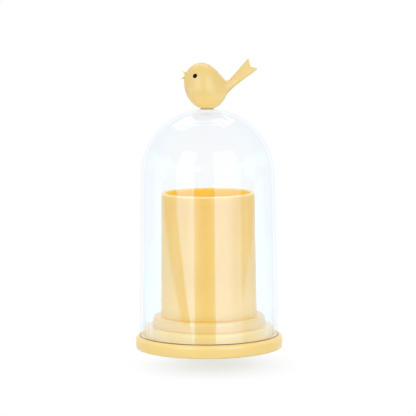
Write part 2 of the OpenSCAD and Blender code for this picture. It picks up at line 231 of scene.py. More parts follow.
class StageSettings(bpy.types.PropertyGroup):
    """Camera, lamps and panels."""

    focal: FloatProperty(
        name="Focal length", description="Focal length of the camera", default=220.7, unit="CAMERA"
    )
    distance: length("Camera distance", "Distance from the camera to its target", 1390)
    pitch: angle("Camera pitch", "Camera's look below the horizon", 6.5)
    roll: angle("Camera roll", "Roll of the camera", -0.5)
    aim_x: length("Aim, sideways", "Sideways place of the camera's target", 0.02)
    aim_z: length("Aim, height", "Height of the camera's target", 76.5)
    left_lamp: brightness("Left panel", "Brightness of the panel at the front left", 7.2)
    low_lamp: brightness("Low left panels", "Brightness of the low panels at the left", 4.4)
    right_lamp: brightness("Right panel", "Brightness of the panel at the front right", 6.7)
    far_lamp: brightness("Low right panel", "Brightness of the low panel at the right", 3.8)
    side: share("Side panel", "Brightness as a share of the right panel's", 0.9)
    far_left: share("Far left panel", "Brightness as a share of the low left panels'", 0.8)
    far_right: share("Far right panel", "Brightness as a share of the low right panel's", 0.9)
    panel_tone: colour("Panel tone", "Cool white of the panels", (0.36, 0.645, 1.00))
    top_tone: colour("Top panel tone", "White of the overhead panel", (0.92, 0.96, 1.00))
    top_panel: brightness("Top panel", "Brightness of the overhead panel", 2.9)
    front_lamp: brightness("Front lamp", "Brightness of the low front lamp", 0.72)
    top_lamp: brightness("Top lamp", "Brightness of the overhead lamp", 1.0)
    fill: brightness("Fill", "Brightness of the room's own light", 0.96)


def arithmetic(operation, swapped=False):
    """A method of Signal that adds a Math node."""

    def method(self, other):
        first, second = (other, self) if swapped else (self, other)
        return self.finish.node("Math", {"operation": operation}, {0: first, 1: second})["Value"]

    return method


class Signal:
    """A value in a finish's nodes. Arithmetic on it adds Math nodes to the same finish."""

    def __init__(self, finish, socket):
        self.finish = finish
        self.socket = socket

    __add__ = arithmetic("ADD")
    __radd__ = arithmetic("ADD", swapped=True)
    __sub__ = arithmetic("SUBTRACT")
    __rsub__ = arithmetic("SUBTRACT", swapped=True)
    __mul__ = arithmetic("MULTIPLY")
    __rmul__ = arithmetic("MULTIPLY", swapped=True)
    at_most = arithmetic("MINIMUM")


class Outputs:
    """The outputs of a node, each as a Signal."""

    def __init__(self, finish, node):
        self.finish = finish
        self.node = node

    def __getitem__(self, name):
        return Signal(self.finish, self.node.outputs[name])


class Finish:
    """A material or world that is built from nodes."""

    def __init__(self, owner):
        owner.use_nodes = True
        self.owner = owner
        self.tree = owner.node_tree
        self.tree.nodes.clear()

    def node(self, kind, settings=None, sockets=None):
        """Adds a node of a type, with its settings first and then the values or links of its sockets."""
        made = self.tree.nodes.new("ShaderNode" + kind)
        for key, value in (settings or {}).items():
            setattr(made, key, value)
        for key, value in (sockets or {}).items():
            socket = made.inputs[key]
            if isinstance(value, Signal):
                self.tree.links.new(value.socket, socket)
            elif socket.type == "RGBA":
                socket.default_value = (*value, 1)
            else:
                socket.default_value = value
        return Outputs(self, made)

    def place(self):
        """The place on the piece, in its own axes."""
        return self.node("TexCoord")["Object"]

    def height(self):
        """The height on the piece."""
        return self.node("SeparateXYZ", None, {"Vector": self.place()})["Z"]

    def from_axis(self):
        """The distance from the upright axis."""
        flat = self.node("VectorMath", {"operation": "MULTIPLY"}, {0: self.place(), 1: (1, 1, 0)})["Vector"]
        return self.node("VectorMath", {"operation": "LENGTH"}, {0: flat})["Value"]

    def noise(self, size, detail, stretch=(1, 1, 1)):
        """Noise from 0 to 1 in the piece's own axes, with features of about a size in metres."""
        place = self.node("Mapping", None, {"Vector": self.place(), "Scale": stretch})["Vector"]
        return self.node("TexNoise", None, {"Vector": place, "Scale": 1 / size, "Detail": detail})["Fac"]

    def ramp(self, signal, low, high, shape="LINEAR"):
        """Stretches the part of a signal between two values to 0 to 1."""
        sockets = {"Value": signal, "From Min": low, "From Max": high}
        return self.node("MapRange", {"clamp": True, "interpolation_type": shape}, sockets)["Result"]

    def mix(self, amount, first, second):
        """Mixes two colours. The node's colour sockets share names with others and go by number."""
        return self.node("Mix", {"data_type": "RGBA"}, {0: amount, 6: first, 7: second})[2]

    def mix_shaders(self, amount, first, second):
        """Mixes two shaders."""
        return self.node("MixShader", None, {0: amount, 1: first, 2: second})["Shader"]

    def bump(self, height, depth):
        """A normal from a height signal, where a height of 1 stands for a depth in metres."""
        return self.node("Bump", None, {"Height": height, "Distance": depth, "Strength": 1.0})["Normal"]

    def let_through(self, tone):
        """A shader that light passes straight through, tinted."""
        return self.node("BsdfTransparent", None, {"Color": tone})["BSDF"]

    def shine(self, tone, strength):
        """A shader that only glows."""
        return self.node("Emission", None, {"Color": tone, "Strength": strength})["Emission"]

    def seen(self):
        """1 for what is seen, straight, mirrored or through clear walls, and 0 for stray light."""
        path = self.node("LightPath")
        return (path["Is Camera Ray"] + path["Is Glossy Ray"] + path["Is Transmission Ray"]).at_most(1)

    def surface(self, shader):
        """Ends the nodes in an output and gives back the finished material or world."""
        kind = "OutputWorld" if isinstance(self.owner, bpy.types.World) else "OutputMaterial"
        self.node(kind, None, {"Surface": shader})
        return self.owner


def darker(tone, by, warmer=0.0):
    """A darker and warmer version of a colour."""
    return tuple(part * (1 - by - warmer * i) for i, part in enumerate(tone))


def moulded_plastic(name, tone, gloss, sheen, ripple, glow, depth, bands=(), bore=None, painted_glow=None):
    """Coloured moulded plastic that lets a little light through.

    It has clouded pigment, paler edges, fine ripples and handling marks in its gloss. Bands change the
    tone over parts of its height, some of them as painted light or shade. A bore is duller, with painted
    bounce light that glows and brightens towards its mouth, and a painted glow lights a band of its height.
    """
    made = Finish(bpy.data.materials.new(name))
    height = made.height()
    cloud = made.ramp(made.noise(18 * MM, 4), 0.3, 0.7)
    flow = made.ramp(made.noise(6 * MM, 2, FLOW), 0.35, 0.75)
    edge = made.ramp(made.node("NewGeometry")["Pointiness"], 0.515, 0.58)
    smear = made.ramp(made.noise(9 * MM, 5), 0.45, 0.8)
    scratch = made.ramp(made.noise(1.1 * MM, 2, SCRATCH), 0.66, 0.8)
    peel = made.noise(1.6 * MM, 2) * 0.7 + made.noise(0.4 * MM, 2) * 0.3

    pigment = darker(tone, 0.035, 0.02)
    paler = tuple(min(1, part * 1.04 + 0.07) for part in tone)
    tone_here = made.mix(cloud * 0.6 + flow * 0.4, tone, pigment)
    tone_here = made.mix(edge * 0.5, tone_here, paler)
    for band in bands:
        tone_here = made.mix(made.ramp(height, band.start, band.full), tone_here, band.tone)
    rough = gloss + smear * 0.07 + scratch * 0.08 - cloud * 0.02
    shine = (0.0, 0.0, 0.0)
    # Painted light: a glow over a band of the height, which lifts the shade in a crease
    if painted_glow:
        fade = 0.3 * MM
        lit = made.ramp(height, painted_glow.start, painted_glow.full) * made.ramp(height, painted_glow.end - fade, painted_glow.end)
        shine = made.mix(lit, shine, painted_glow.tone)
    # Painted bounce light: inside the bore the tone deepens and glows, brighter towards the mouth
    if bore:
        wall_fade, rim_fade = 0.5 * MM, 0.4 * MM
        dim_z, bright_z = bore.top - 40 * MM, bore.top - 9 * MM
        dim = 0.6
        within = 1 - made.ramp(made.from_axis(), bore.radius, bore.radius + wall_fade)
        inside = within * (1 - made.ramp(height, bore.top - rim_fade, bore.top))
        mouth = inside * (dim + (1 - dim) * made.ramp(height, dim_z, bright_z))
        tone_here = made.mix(mouth, tone_here, bore.tone)
        shine = made.mix(mouth, shine, darker(bore.tone, 0.9))
        rough = rough + inside * 0.35

    shader = made.node("BsdfPrincipled", None, {
        "Base Color": tone_here,
        "Roughness": rough,
        "IOR": 1.5,
        "Specular IOR Level": sheen,
        "Subsurface Weight": glow,
        "Subsurface Radius": (1.0, 0.85, 0.55),
        "Subsurface Scale": depth,
        "Emission Color": shine,
        "Emission Strength": 1.0,
        "Normal": made.bump(peel, ripple),
    })
    return made.surface(shader["BSDF"])


def clear_plastic(name, tone, edge_tone, rim_shade_tone, rim_z, wall_r, crown_z):
    """Clear moulded plastic with a faint tint, slight waves, wiping marks and a line of painted shade along
    its rim.

    It is a thin wall that hardly bends what is behind it. The painted shade shows on the outside of the rim
    only.
    """
    made = Finish(bpy.data.materials.new(name))
    height = made.height()
    smear = made.ramp(made.noise(14 * MM, 4, SMEAR), 0.5, 0.85)
    wipe = made.ramp(made.noise(1.3 * MM, 2, WIPE), 0.68, 0.82)
    wave = made.noise(22 * MM, 2)
    along = made.node("LayerWeight", None, {"Blend": 0.5})["Facing"]
    front = 1 - made.node("NewGeometry")["Backfacing"]
    outside = made.ramp(made.from_axis(), wall_r, wall_r + 0.2 * MM) * front
    # Painted shade: a dark line on the outside of the rim's lowest part, where it stands on the base
    rim_shade_mask = outside * (1 - made.ramp(height, rim_z + 0.34 * MM, rim_z + 0.60 * MM))
    crown = made.ramp(height, crown_z - 1.6 * MM, crown_z - 0.8 * MM)
    tone_here = made.mix(made.ramp(along, 0.2, 0.95), tone, edge_tone)
    # The mirror fades out where one looks along the wall, except at the foot of the bird
    mirror = (1 - smear * 0.1) * (1 - made.ramp(along, 0.7, 0.9) * (1 - crown))
    wall = made.node("BsdfPrincipled", None, {
        "Base Color": made.mix(rim_shade_mask, tone_here, rim_shade_tone),
        "Roughness": 0.012 + smear * 0.03 + wipe * 0.04 + rim_shade_mask * 0.2,
        "IOR": 1.001,
        "Transmission Weight": 1.0,
        "Coat Weight": mirror,
        "Coat IOR": 1.3,
        "Coat Roughness": 0.02,
        "Normal": made.bump(wave, 0.01 * MM),
    })
    # Light on its way to the other pieces passes straight through
    path = made.node("LightPath")
    lighting = (path["Is Shadow Ray"] + path["Is Diffuse Ray"]).at_most(1)
    return made.surface(made.mix_shaders(lighting, wall["BSDF"], made.let_through(tone)))


def black_bead(name, tone):
    """Polished black plastic with a faint haze of wear."""
    made = Finish(bpy.data.materials.new(name))
    haze = made.ramp(made.noise(0.6 * MM, 3), 0.4, 0.8)
    worn = tuple(part * 2.2 + 0.002 for part in tone)
    shader = made.node("BsdfPrincipled", None, {
        "Base Color": made.mix(haze, tone, worn),
        "Roughness": 0.07 + haze * 0.08,
        "IOR": 1.52,
        "Specular IOR Level": 0.03,
        "Normal": made.bump(made.noise(0.4 * MM, 2), 0.004 * MM),
    })
    return made.surface(shader["BSDF"])


def rounded(corners, steps=7):
    """A half section through corners (radius, height, rounding).

    Each rounding is an arc with a close point on either side.
    """
    line = []
    for i, (r, z, rounding) in enumerate(corners):
        here = Vector((r, z))
        if not rounding:
            line.append(here)
            continue
        back = Vector(corners[i - 1][:2]) - here
        on = Vector(corners[(i + 1) % len(corners)][:2]) - here
        edge = min(back.length, on.length)
        back.normalize()
        on.normalize()
        half = back.angle(on) / 2
        reach = rounding / math.tan(half)
        if reach > edge:
            raise ValueError("A rounding is longer than the edge beside it")
        middle = here + (back + on).normalized() * (rounding / math.sin(half))
        start = here + back * reach - middle
        end = here + on * reach - middle
        turn = math.pi - 2 * half
        line.append(here + back * (reach + SUPPORT))
        for k in range(steps + 1):
            t = k / steps
            spoke = start * math.sin((1 - t) * turn) + end * math.sin(t * turn)
            line.append(middle + spoke / math.sin(turn))
        line.append(here + on * (reach + SUPPORT))
    return line


def arc(middle_z, radius, first, last, steps):
    """Points of an arc round a point of the axis, between two angles from the axis."""
    turns = [first + (last - first) * k / steps for k in range(steps + 1)]
    return [Vector((radius * math.sin(a), middle_z + radius * math.cos(a))) for a in turns]


def between(first, last, steps):
    """Points that divide a straight stretch, without its ends."""
    return [first + (last - first) * k / steps for k in range(1, steps)]


def add_face(bm, corners):
    """Adds a face without repeated corners, or none if it shrinks to nothing."""
    kept = list(dict.fromkeys(corners))
    if len(kept) > 2:
        bm.faces.new(kept)


def turned(bm, line, around=160):
    """Turns a half section about the axis, into a skin that closes where the section meets the axis."""
    turns = [2 * math.pi * k / around for k in range(around)]
    rings = []
    for r, z in line:
        if r < TOUCH:
            rings.append([bm.verts.new((0, 0, z))] * around)
        else:
            rings.append([bm.verts.new((r * math.cos(a), r * math.sin(a), z)) for a in turns])
    for low, high in zip(rings, rings[1:]):
        for k in range(around):
            on = (k + 1) % around
            add_face(bm, (low[k], low[on], high[on], high[k]))


def strip(bm, low, high):
    """Faces between two rows of vertices."""
    for k in range(len(low) - 1):
        add_face(bm, (low[k], high[k], high[k + 1], low[k + 1]))


def mesh_from(name, bm):
    """Makes an object of a mesh that is done."""
    mesh = bpy.data.meshes.new(name)
    bm.to_mesh(mesh)
    bm.free()
    made = bpy.data.objects.new(name, mesh)
    bpy.context.scene.collection.objects.link(made)
    return made


def add_piece(name, bm, material, body, node):
    """Makes a smooth mesh piece that stands for a node and moves with its body."""
    if not bm.faces:
        raise RuntimeError(f"{name} has no faces")
    bmesh.ops.recalc_face_normals(bm, faces=bm.faces)
    made = mesh_from(name, bm)
    made.data.shade_smooth()
    made.data.materials.append(material)
    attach(made, body)
    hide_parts(node)


def crown_height():
    """Height of the flat on the dome's crown, where the bird's neck stands."""
    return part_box("bird_left_half")[0].z


class HOLDER_OT_base(bpy.types.Operator):
    """Stepped base: plate, two tiers, recess for the cup and hollow underside"""

    bl_idname = "holder.base"
    bl_label = "Base"

    def execute(self, context):
        s = context.scene.holder_sizes
        c = context.scene.holder_colours
        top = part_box("base")[1]
        plate_r, base_top = top.x, top.z
        foot_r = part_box("swab_cup")[1].x
        recess_r = foot_r - s.shoulder_w + s.plug_gap
        upper_r = foot_r + s.tier_ledge
        middle_r = upper_r + s.tier_ledge
        middle_top = base_top - s.tier_h
        plate_h = middle_top - s.tier_h
        recess_z = base_top - s.seat_depth
        wall = s.base_wall
        bm = bmesh.new()
        turned(bm, rounded([
            (0, recess_z, 0),
            (recess_r, recess_z, CRISP),
            (recess_r, base_top, CRISP),
            (upper_r, base_top, s.tier_round),
            (upper_r, middle_top, CRISP),
            (middle_r, middle_top, s.tier_round),
            (middle_r, plate_h, CRISP),
            (plate_r, plate_h, s.plate_round),
            (plate_r, 0, s.plate_under),
            (plate_r - wall, 0, CRISP),
            (plate_r - wall, plate_h - wall, CRISP),
            (middle_r - wall, plate_h - wall, CRISP),
            (middle_r - wall, middle_top - wall, CRISP),
            (upper_r - wall, middle_top - wall, CRISP),
            (upper_r - wall, recess_z - wall, CRISP),
            (0, recess_z - wall, 0),
        ]))
        finish = moulded_plastic(
            "base_plastic", c.base, c.cup_gloss, c.base_sheen,
            ripple=0.007 * MM, glow=c.base_glow, depth=5 * MM,
            bands=(
                Band(plate_h + 0.1 * MM, plate_h + 0.8 * MM, c.middle),
                Band(middle_top - 0.9 * MM, middle_top + 1.6 * MM, c.tier),
            ),
        )
        add_piece("base_moulding", bm, finish, "base", "base")
        return {"FINISHED"}


class HOLDER_OT_cup(bpy.types.Operator):
    """Tapered cup with a rounded rim, a shoulder and a plug"""

    bl_idname = "holder.cup"
    bl_label = "Cup"

    def execute(self, context):
        s = context.scene.holder_sizes
        c = context.scene.holder_colours
        low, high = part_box("swab_cup")
        base_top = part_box("base")[1].z
        foot_r, cup_top, plug_z = high.x, high.z, low.z
        mouth_r = foot_r - (cup_top - base_top) * math.tan(s.cup_draft)
        floor_z = plug_z + s.cup_floor
        bore_r = mouth_r - s.cup_wall
        bore_floor_r = bore_r - (cup_top - floor_z) * math.tan(s.bore_draft)
        plug_r = foot_r - s.shoulder_w
        rim_z = cup_top - s.rim_round
        bm = bmesh.new()
        turned(bm, rounded([
            (0, floor_z, 0),
            (bore_floor_r, floor_z, s.floor_round),
            (bore_r, cup_top, s.rim_round),
            (mouth_r, cup_top, s.rim_round),
            (foot_r, base_top, s.foot_round),
            (plug_r, base_top, s.shoulder_round),
            (plug_r, plug_z, s.plug_round),
            (0, plug_z, 0),
        ]))
        finish = moulded_plastic(
            "cup_plastic", c.cup, c.cup_gloss, c.cup_sheen,
            ripple=0.006 * MM, glow=c.cup_glow, depth=8 * MM,
            bands=(
                # Painted shade: deeper yellow towards the rim
                Band(rim_z - 26 * MM, rim_z - 1 * MM, c.cup_top),
                # Painted highlight on the rounded rim
                Band(rim_z - 0.1 * MM, rim_z + 0.4 * MM, c.cup_rim_highlight),
                Band(base_top + 24 * MM, base_top - 20 * MM, c.cup_foot),
                # Painted bounce light at the foot
                Band(base_top + 2.5 * MM, base_top - 1 * MM, c.cup_bounce_light),
            ),
            bore=Bore(bore_r, rim_z, c.cup_bounce_light),
            # Painted glow along the foot, where the cup meets the base in shade
            painted_glow=Seam(base_top + 1.4 * MM, base_top + 0.3 * MM, base_top, darker(c.cup_foot, 0.79)),
        )
        add_piece("cup_moulding", bm, finish, "cup", "swab_cup")
        return {"FINISHED"}


class HOLDER_OT_dome(bpy.types.Operator):
    """Clear bell-shaped dome with a flat crown and a spigot"""

    bl_idname = "holder.dome"
    bl_label = "Dome"

    def execute(self, context):
        s = context.scene.holder_sizes
        c = context.scene.holder_colours
        corner_steps, wall_steps, outer_steps, inner_steps, around = 4, 12, 44, 48, 320
        low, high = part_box("dome_cover")
        rim_r, rim_z, spigot_z = high.x, low.z, high.z
        crown_z = crown_height()
        spring_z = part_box("swab_cup")[1].z + s.headroom
        crown_r = rim_r - (spring_z - rim_z) * math.tan(s.dome_draft)
        inner_rim_r = rim_r - s.dome_wall
        inner_crown_r = crown_r - s.dome_wall
        if crown_z > spring_z + crown_r:
            raise RuntimeError("The flat of the crown lies above the dome's arc")
        flat_edge = math.acos((crown_z - spring_z) / crown_r)
        level = math.pi / 2
        line = rounded([
            (0, spigot_z, 0),
            (s.spigot_r, spigot_z, s.spigot_round),
            (s.spigot_r, crown_z, s.spigot_foot),
            (context.scene.bird_sizes.neck_r, crown_z, 0),
        ], corner_steps)
        line += arc(spring_z, crown_r, flat_edge, level, outer_steps)
        line += between(Vector((crown_r, spring_z)), Vector((rim_r, rim_z)), wall_steps)
        line += rounded([
            (crown_r, spring_z, 0),
            (rim_r, rim_z, s.dome_rim_round),
            (inner_rim_r, rim_z, s.dome_rim_round),
            (inner_crown_r, spring_z, 0),
        ], corner_steps)[1:-1]
        line += between(Vector((inner_rim_r, rim_z)), Vector((inner_crown_r, spring_z)), wall_steps)
        line += arc(spring_z, inner_crown_r, level, 0, inner_steps)
        bm = bmesh.new()
        turned(bm, line, around)
        wall_r = rim_r - s.dome_wall / 2
        finish = clear_plastic("clear_plastic", c.dome, c.dome_edge, c.dome_rim_shade, rim_z, wall_r, crown_z)
        add_piece("clear_dome", bm, finish, "dome", "dome_cover")
        return {"FINISHED"}


def cubic(c, t):
    """A point of a cubic curve with four control points."""
    return c[0] * (1 - t) ** 3 + c[1] * 3 * t * (1 - t) ** 2 + c[2] * 3 * t * t * (1 - t) + c[3] * t ** 3


def straight(p, q):
    """Control points of a straight stretch."""
    return (p, p + (q - p) / 3, p + (q - p) * 2 / 3, q)


class BirdForm:
    """The bird as a loft between a rail over its back and one under its belly.

    The rails, the half width and the squareness of the section each have four parts: from the foremost point
    of the breast to crown and belly, on to the rump, on into the tail, and to the tail's end.
    """

    TAIL = 3

    def __init__(self, sizes):
        b = sizes
        self.sizes = b
        self.tail_dir = Vector((math.cos(b.tail_angle), math.sin(b.tail_angle)))
        self.tail_up = Vector((-self.tail_dir.y, self.tail_dir.x))
        face = Vector((-b.breast_x, b.face_z))
        crown = Vector((-b.crown_x, b.height))
        belly = Vector((0, -b.belly_dip))
        valley = Vector((b.rump_x, b.rump_top * b.height))
        flank = Vector((b.rump_x, b.rump_low * b.height))
        self.face = face
        self.tail_at = valley + Vector((b.tail_x, -b.tail_drop))

        # Handles of the curves, as steps from the points that they leave or reach
        brow = Vector((0, QUARTER * (b.height - b.face_z)))
        forehead = Vector((QUARTER * (crown.x + b.breast_x), 0))
        nape = Vector((6.8, 0)) * MM
        into_valley = Vector((-2, 0.9)) * MM
        out_of_valley = Vector((0.7, -0.2)) * MM
        throat = Vector((0, QUARTER * (b.face_z + b.belly_dip)))
        chest = Vector((QUARTER * b.breast_x, 0))
        seat = Vector((6.6, 0)) * MM
        into_flank = Vector((-1, -2.4)) * MM
        out_of_flank = Vector((0.6, 1.4)) * MM
        # Places along the tail's two edges, as shares of its length, where it turns straight and before that
        tail_from, upper_handle, lower_handle = 0.12, 0.04, -0.02
        upper, lower = self.tail_edge(tail_from, 1), self.tail_edge(tail_from, -1)
        self.back = (
            (face, face + brow, crown - forehead, crown),
            (crown, crown + nape, valley + into_valley, valley),
            (valley, valley + out_of_valley, self.tail_edge(upper_handle, 1), upper),
            straight(upper, self.tail_edge(1, 1)),
        )
        self.belly = (
            (face, face - throat, belly - chest, belly),
            (belly, belly + seat, flank + into_flank, flank),
            (flank, flank + out_of_flank, self.tail_edge(lower_handle, -1), lower),
            straight(lower, self.tail_edge(1, -1)),
        )
        rump, root, end = b.rump_t / 2, b.tail_root_t / 2, b.tail_end_t / 2
        self.width = (
            (0, QUARTER * b.half_w, b.half_w, b.half_w),
            (b.half_w, b.half_w, rump + 1 * MM, rump),
            straight(rump, root),
            straight(root, end),
        )
        # A section with a power of 2 is an ellipse, and a higher power squares it
        oval, at_rump, at_root, at_end = 2, 2.2, 2.8, 3.6
        self.end_power = at_end
        self.squareness = (
            straight(oval, oval),
            straight(oval, at_rump),
            straight(at_rump, at_root),
            straight(at_root, at_end),
        )

    def tail_edge(self, s, side):
        """A point of the tail's upper (1) or lower (-1) edge, at a share of its length."""
        b = self.sizes
        width = b.tail_root_w + s * (b.tail_end_w - b.tail_root_w)
        return self.tail_at + self.tail_dir * (s * b.tail_len) + self.tail_up * (side * width / 2)

    def skin(self, part, t, a, inset=0.0, along=0.0):
        """A point of the skin at an angle from the back; the tail's last stretch ends in a notch."""
        top, under = cubic(self.back[part], t), cubic(self.belly[part], t)
        wide, power = cubic(self.width[part], t), cubic(self.squareness[part], t)
        up = (top - under) / 2
        high = math.copysign(abs(math.cos(a)) ** (2 / power), math.cos(a))
        deep = math.copysign(abs(math.sin(a)) ** (2 / power), math.sin(a))
        place = (top + under) / 2 + up * (high * (1 - inset / max(up.length, TOUCH)))
        if part == self.TAIL:
            vee = (1 - high) / (1 - NOTCH_AT) if high > NOTCH_AT else (1 + high) / (1 + NOTCH_AT)
            place -= self.tail_dir * (self.sizes.notch * vee * t)
        place += self.tail_dir * along
        return Vector((place.x, (wide - inset) * deep, place.y))


def bird_half(bm, form, side, neck_z):
    """One half of the bird's body and tail, flat on the plane y = 0."""
    around = 40
    body_rows, tail_rows, end_rows = (26, 26, 10), 10, 5
    underside = 0.04 * MM
    groove = 0.06 * MM
    edge = form.sizes.tail_round

    def vertex(point):
        return bm.verts.new((point.x, side * max(point.y, 0), neck_z + max(point.z, underside)))

    angles = [math.pi * k / around for k in range(around + 1)]
    notch_turn = math.acos(-abs(NOTCH_AT) ** (form.end_power / 2))
    nearest = min(range(around + 1), key=lambda k: abs(angles[k] - notch_turn))
    angles[nearest] = notch_turn
    tail_end = 1 - edge / form.sizes.tail_len
    places = [(part, (k + 1) / n) for part, n in enumerate(body_rows) for k in range(n)]
    places += [(form.TAIL, tail_end * (k + 1) / tail_rows) for k in range(tail_rows)]
    insets = [groove if k in (0, around) else 0 for k in range(around + 1)]
    rows = [[vertex(form.skin(part, t, a, inset)) for a, inset in zip(angles, insets)] for part, t in places]
    for k in range(1, end_rows + 1):
        turn = math.pi / 2 * k / end_rows
        inset, along = edge * (1 - math.cos(turn)), edge * (math.sin(turn) - 1)
        rows.append([vertex(form.skin(form.TAIL, 1, a, inset, along)) for a in angles])
    nose = [bm.verts.new((form.face.x, 0, neck_z + form.face.y))] * (around + 1)
    for low, high in zip([nose] + rows, rows):
        strip(bm, low, high)
    flat = [
        [row[0]] + [bm.verts.new((v.co.x, 0, v.co.z)) for v in row[1:-1]] + [row[-1]] for row in rows
    ]
    strip(bm, rows[-1], flat[-1])
    for low, high in zip([nose] + flat, flat):
        strip(bm, high, low)


def half_neck(bm, sizes, side, neck_z):
    """Half of the round neck on the dome's crown, with a small hollow where it meets the body."""
    around, steps = 32, 5
    hollow_from = 0.6
    foot_z = 0.02 * MM - sizes.neck_h
    inside_z = 0.1 * MM
    wide_r = sizes.neck_r + sizes.neck_flare
    line = [(0, foot_z), (sizes.neck_r, foot_z)]
    for k in range(steps + 1):
        t = k / steps
        line.append((sizes.neck_r + sizes.neck_flare * t ** 2, hollow_from * foot_z * (1 - t)))
    line += [(wide_r, inside_z), (0, inside_z)]
    turns = [math.pi * k / around for k in range(around + 1)]
    rows = []
    for r, z in line:
        if r == 0:
            rows.append([bm.verts.new((0, 0, neck_z + z))] * (around + 1))
        else:
            rows.append([bm.verts.new((r * math.cos(a), side * r * math.sin(a), neck_z + z)) for a in turns])
    for low, high in zip(rows, rows[1:]):
        strip(bm, low, high)
    strip(bm, [row[0] for row in rows], [row[-1] for row in rows])


def beak_half(bm, start, tip, sizes, side, neck_z):
    """Half of a slim pointed cone with a hollow flare at its root, for one half of the beak."""
    around, steps = 12, 10
    flare, blunt = 1.25, 0.55
    axis = tip - start
    up = Vector((-axis.y, axis.x)).normalized()
    turns = [math.pi * k / around for k in range(around + 1)]
    rows = []
    for k in range(steps + 1):
        t = k / steps
        radius = sizes.beak_tip_r + (sizes.beak_r - sizes.beak_tip_r) * (1 - t) ** flare
        if k == steps:
            radius *= blunt
        ring = []
        for a in turns:
            flat = start + axis * t + up * (radius * math.cos(a))
            ring.append(bm.verts.new((flat.x, side * radius * math.sin(a), neck_z + flat.y)))
        rows.append(ring)
    for low, high in zip(rows, rows[1:]):
        strip(bm, low, high)
    for ring in (rows[0], rows[-1]):
        bm.faces.new(ring)
    strip(bm, [row[0] for row in rows], [row[-1] for row in rows])


def sharpen_parting(bm):
    """Marks the edges in the parting plane as sharp, so that the flat there doesn't soften the skin."""
    for edge in bm.edges:
        if all(abs(v.co.y) < TOUCH for v in edge.verts):
            edge.smooth = False


class HOLDER_OT_bird(bpy.types.Operator):
    """Bird handle: two half shells with a beak and a notched tail"""

    bl_idname = "holder.bird"
    bl_label = "Bird"

    def execute(self, context):
        b = context.scene.bird_sizes
        c = context.scene.holder_colours
        form = BirdForm(b)
        neck_z = crown_height() + b.neck_h
        mouth = cubic(form.back[0], b.mouth_at)
        satin = moulded_plastic(
            "bird_plastic", c.bird, c.bird_gloss, c.bird_sheen,
            ripple=0.01 * MM, glow=c.bird_glow, depth=0.8 * MM,
            bands=(
                # Painted light on the underside
                Band(neck_z + 9 * MM, neck_z + 0.5 * MM, c.bird_underside_light),
                # Painted shade on the neck
                Band(neck_z + 0.3 * MM, neck_z - 0.2 * MM, c.bird_neck_shade),
            ),
        )
        for side, word in BIRD_SIDES:
            bm = bmesh.new()
            bird_half(bm, form, side, neck_z)
            half_neck(bm, b, side, neck_z)
            for start, tip in BEAK_HALVES:
                beak_half(bm, mouth + Vector(start) * MM, mouth + Vector(tip) * MM, b, side, neck_z)
            sharpen_parting(bm)
            add_piece(f"bird_{word}_shell", bm, satin, "dome", f"bird_{word}_half")
        return {"FINISHED"}


class HOLDER_OT_eyes(bpy.types.Operator):
    """Black eye beads on pegs"""

    bl_idname = "holder.eyes"
    bl_label = "Eyes"

    def execute(self, context):
        b = context.scene.bird_sizes
        bead_steps, corner_steps, around = 12, 3, 40
        nudge = 0.001
        form = BirdForm(b)
        neck_z = crown_height() + b.neck_h
        here = form.skin(0, b.eye_at, b.eye_turn)
        forward = form.skin(0, b.eye_at + nudge, b.eye_turn) - here
        around_head = form.skin(0, b.eye_at, b.eye_turn + nudge) - here
        out = forward.cross(around_head).normalized()
        if out.y < 0:
            out = -out
        ball_r = (b.eye_r ** 2 + b.eye_h ** 2) / (2 * b.eye_h)
        line = arc(b.eye_h - ball_r, ball_r, 0, math.asin(b.eye_r / ball_r), bead_steps)
        line += rounded([
            (b.eye_r, 0, 0),
            (b.peg_r, 0, b.peg_foot),
            (b.peg_r, -b.peg_len, b.peg_round),
            (0, -b.peg_len, 0),
        ], corner_steps)[1:]
        finish = black_bead("eye_plastic", context.scene.holder_colours.eye)
        for side, word in BIRD_SIDES:
            bm = bmesh.new()
            turned(bm, line, around)
            normal = Vector((out.x, side * out.y, out.z))
            place = Vector((here.x, side * here.y, neck_z + here.z)) - normal * b.eye_seat
            bm.transform(Matrix.Translation(place) @ normal.to_track_quat("Z", "Y").to_matrix().to_4x4())
            add_piece(f"eye_{word}_bead", bm, finish, "dome", f"eye_{word}")
        return {"FINISHED"}


def pale_floor():
    """A white disc with a soft patch in front of the base, greyer with painted shadow, where real shadow
    also falls.

    For mirrored light it ends close to the base, so that the dome can mirror the low panels.
    """
    around, rings = 96, 3
    bm = bmesh.new()
    turned(bm, [Vector((FLOOR_R * k / rings, 0)) for k in range(rings + 1)], around)
    floor = mesh_from("floor", bm)
    made = Finish(bpy.data.materials.new("pale_floor"))
    patch = made.node("Mapping", None, {
        "Vector": made.place(),
        "Location": (-SHADOW_AT[0] / SHADOW_REACH[0], -SHADOW_AT[1] / SHADOW_REACH[1], 0),
        "Scale": (1 / SHADOW_REACH[0], 1 / SHADOW_REACH[1], 0),
    })["Vector"]
    from_patch = made.node("VectorMath", {"operation": "LENGTH"}, {0: patch})["Value"]
    # Outside the patch the floor is plain white; inside it is a greyer lit floor, a painted shadow under the
    # real one
    white = made.seen() * made.ramp(from_patch, 0.1, 1.0, "SMOOTHSTEP")
    lit = made.node("BsdfPrincipled", None, {
        "Base Color": (0.58, 0.58, 0.56),
        "Roughness": 0.7,
        "Emission Color": WHITE,
        "Emission Strength": 0.18,
    })
    seen = made.mix_shaders(white, lit["BSDF"], made.shine(WHITE, 1.0))
    cut = made.node("LightPath")["Is Glossy Ray"] * made.ramp(made.from_axis(), *MIRROR_CUT)
    floor.data.materials.append(made.surface(made.mix_shaders(cut, seen, made.let_through(WHITE))))


